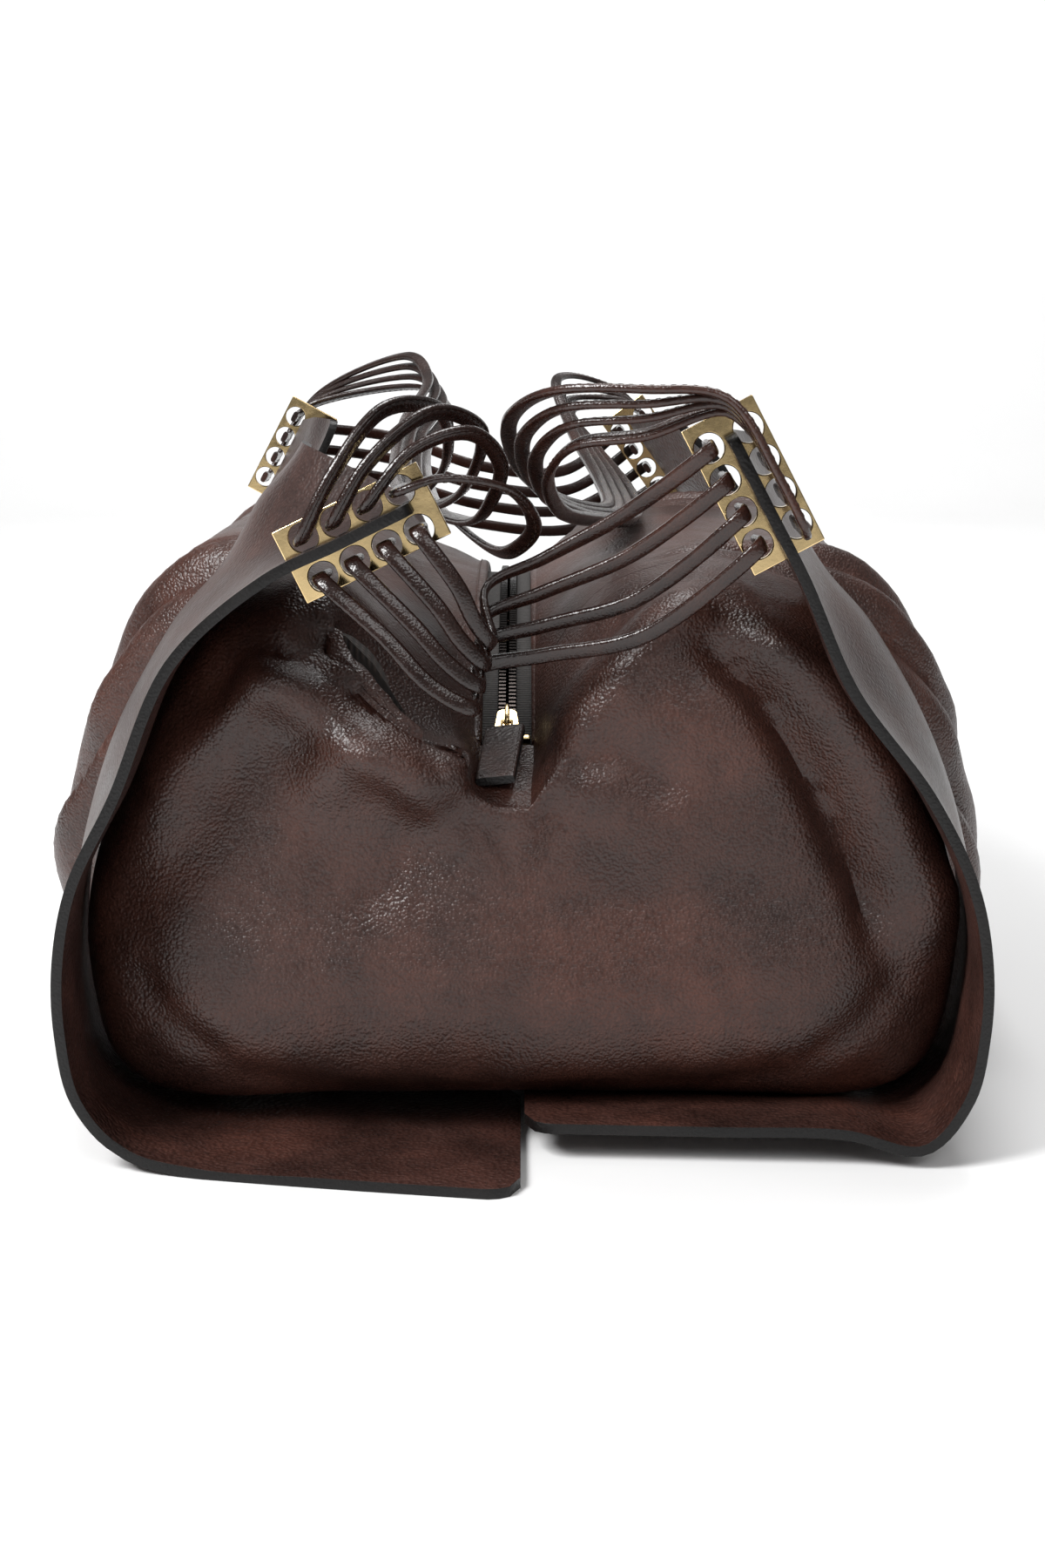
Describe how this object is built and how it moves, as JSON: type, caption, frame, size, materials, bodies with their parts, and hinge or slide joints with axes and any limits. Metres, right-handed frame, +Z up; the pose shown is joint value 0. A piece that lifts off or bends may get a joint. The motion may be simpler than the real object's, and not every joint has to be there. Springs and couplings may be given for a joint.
{
  "type": "handbag",
  "caption": "Soft leather handbag with a zipped valley along the top, wide leather bands round both ends, drilled metal plates and thin laces that close and carry it.",
  "frame": {"origin": "under the middle of the bag, on the surface it stands on", "axes": "+X across the bag to the viewer's right from the near end, +Y along the bag from the near end (slider's rest end) to the far end, +Z up"},
  "size_m": [0.3157, 0.4688, 0.2374],
  "materials": {
    "body_leather": "glossy dark brown with a fine pebble grain",
    "band_leather": "dark brown with black painted edges",
    "lace_leather": "glossy folded and stitched straps",
    "lining_fabric": "plain dark weave",
    "zip_tape": "ribbed tape",
    "zip_teeth": "dark polished",
    "gold_metal": "polished gold colour"
  },
  "bodies": {
    "bag": {"near_end_panel": "body_leather", "far_end_panel": "body_leather", "left_side_panel": "body_leather", "right_side_panel": "body_leather", "base_panel": "body_leather", "lining": "lining_fabric", "zip_tape_left": "zip_tape", "zip_tape_right": "zip_tape", "zip_teeth_left": "zip_teeth", "zip_teeth_right": "zip_teeth", "zip_stop_near_left": "gold_metal", "zip_stop_near_right": "gold_metal", "zip_stop_far_left": "gold_metal", "zip_stop_far_right": "gold_metal", "band_near_left": "band_leather", "plate_near_left": "gold_metal", "band_near_right": "band_leather", "plate_near_right": "gold_metal", "band_far_left": "band_leather", "plate_far_left": "gold_metal", "band_far_right": "band_leather", "plate_far_right": "gold_metal", "lace_left_handle_1": "lace_leather", "lace_left_handle_2": "lace_leather", "lace_left_handle_3": "lace_leather", "lace_left_handle_4": "lace_leather", "lace_right_handle_1": "lace_leather", "lace_right_handle_2": "lace_leather", "lace_right_handle_3": "lace_leather", "lace_right_handle_4": "lace_leather", "lace_near_closing_1": "lace_leather", "lace_near_closing_2": "lace_leather", "lace_near_closing_3": "lace_leather", "lace_near_closing_4": "lace_leather", "lace_far_closing_1": "lace_leather", "lace_far_closing_2": "lace_leather", "lace_far_closing_3": "lace_leather", "lace_far_closing_4": "lace_leather"},
    "slider": {"zip_slider": "gold_metal"},
    "pull": {"pull_link": "gold_metal", "pull_tab": "body_leather"}
  },
  "joints": [
    {"name": "zip_slide", "type": "hinge", "parent": "bag", "child": "slider", "pos_m": [-0.005, 0, -0.148], "axis": [-1, 0, 0], "range_deg": [0, 53.5]},
    {"name": "pull_flip", "type": "hinge", "parent": "slider", "child": "pull", "pos_m": [-0.005, -0.14474, 0.12693], "axis": [-1, 0, 0], "range_deg": [0, 42]}
  ]
}
